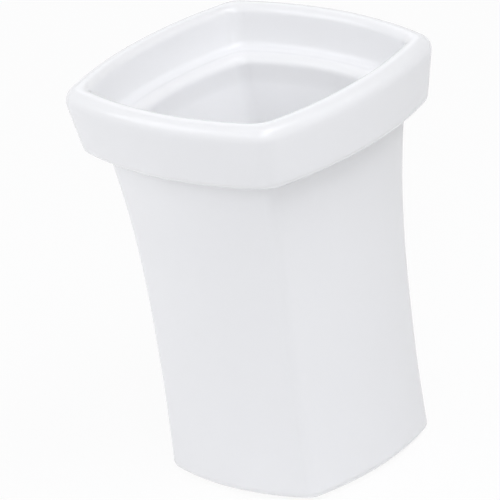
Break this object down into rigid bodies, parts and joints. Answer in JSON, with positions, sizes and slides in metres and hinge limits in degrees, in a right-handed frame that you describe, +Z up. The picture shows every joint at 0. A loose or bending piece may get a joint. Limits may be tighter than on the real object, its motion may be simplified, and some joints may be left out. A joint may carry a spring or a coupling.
{
  "type": "bathroom tumbler",
  "caption": "Glazed ceramic bathroom tumbler with a waisted, bowed-square body, a bold hollow collar with a rolled rim, an inner ledge and soft foot pads.",
  "frame": {"origin": "on the cup's axis, in the plane that the foot pads stand on", "axes": "+Z up along the cup's axis, X and Y square to its bowed sides"},
  "size_m": [0.0804, 0.0804, 0.1108],
  "materials": {
    "glaze": "glossy white glaze",
    "joining_slip": "fired slip",
    "pad_silicone": "frosted silicone"
  },
  "bodies": {
    "root": {"tumbler_body": "glaze", "rim_collar": "glaze", "collar_slip_joint": "joining_slip", "foot_pad_front_left": "pad_silicone", "foot_pad_front_right": "pad_silicone", "foot_pad_rear_left": "pad_silicone", "foot_pad_rear_right": "pad_silicone"}
  },
  "joints": []
}
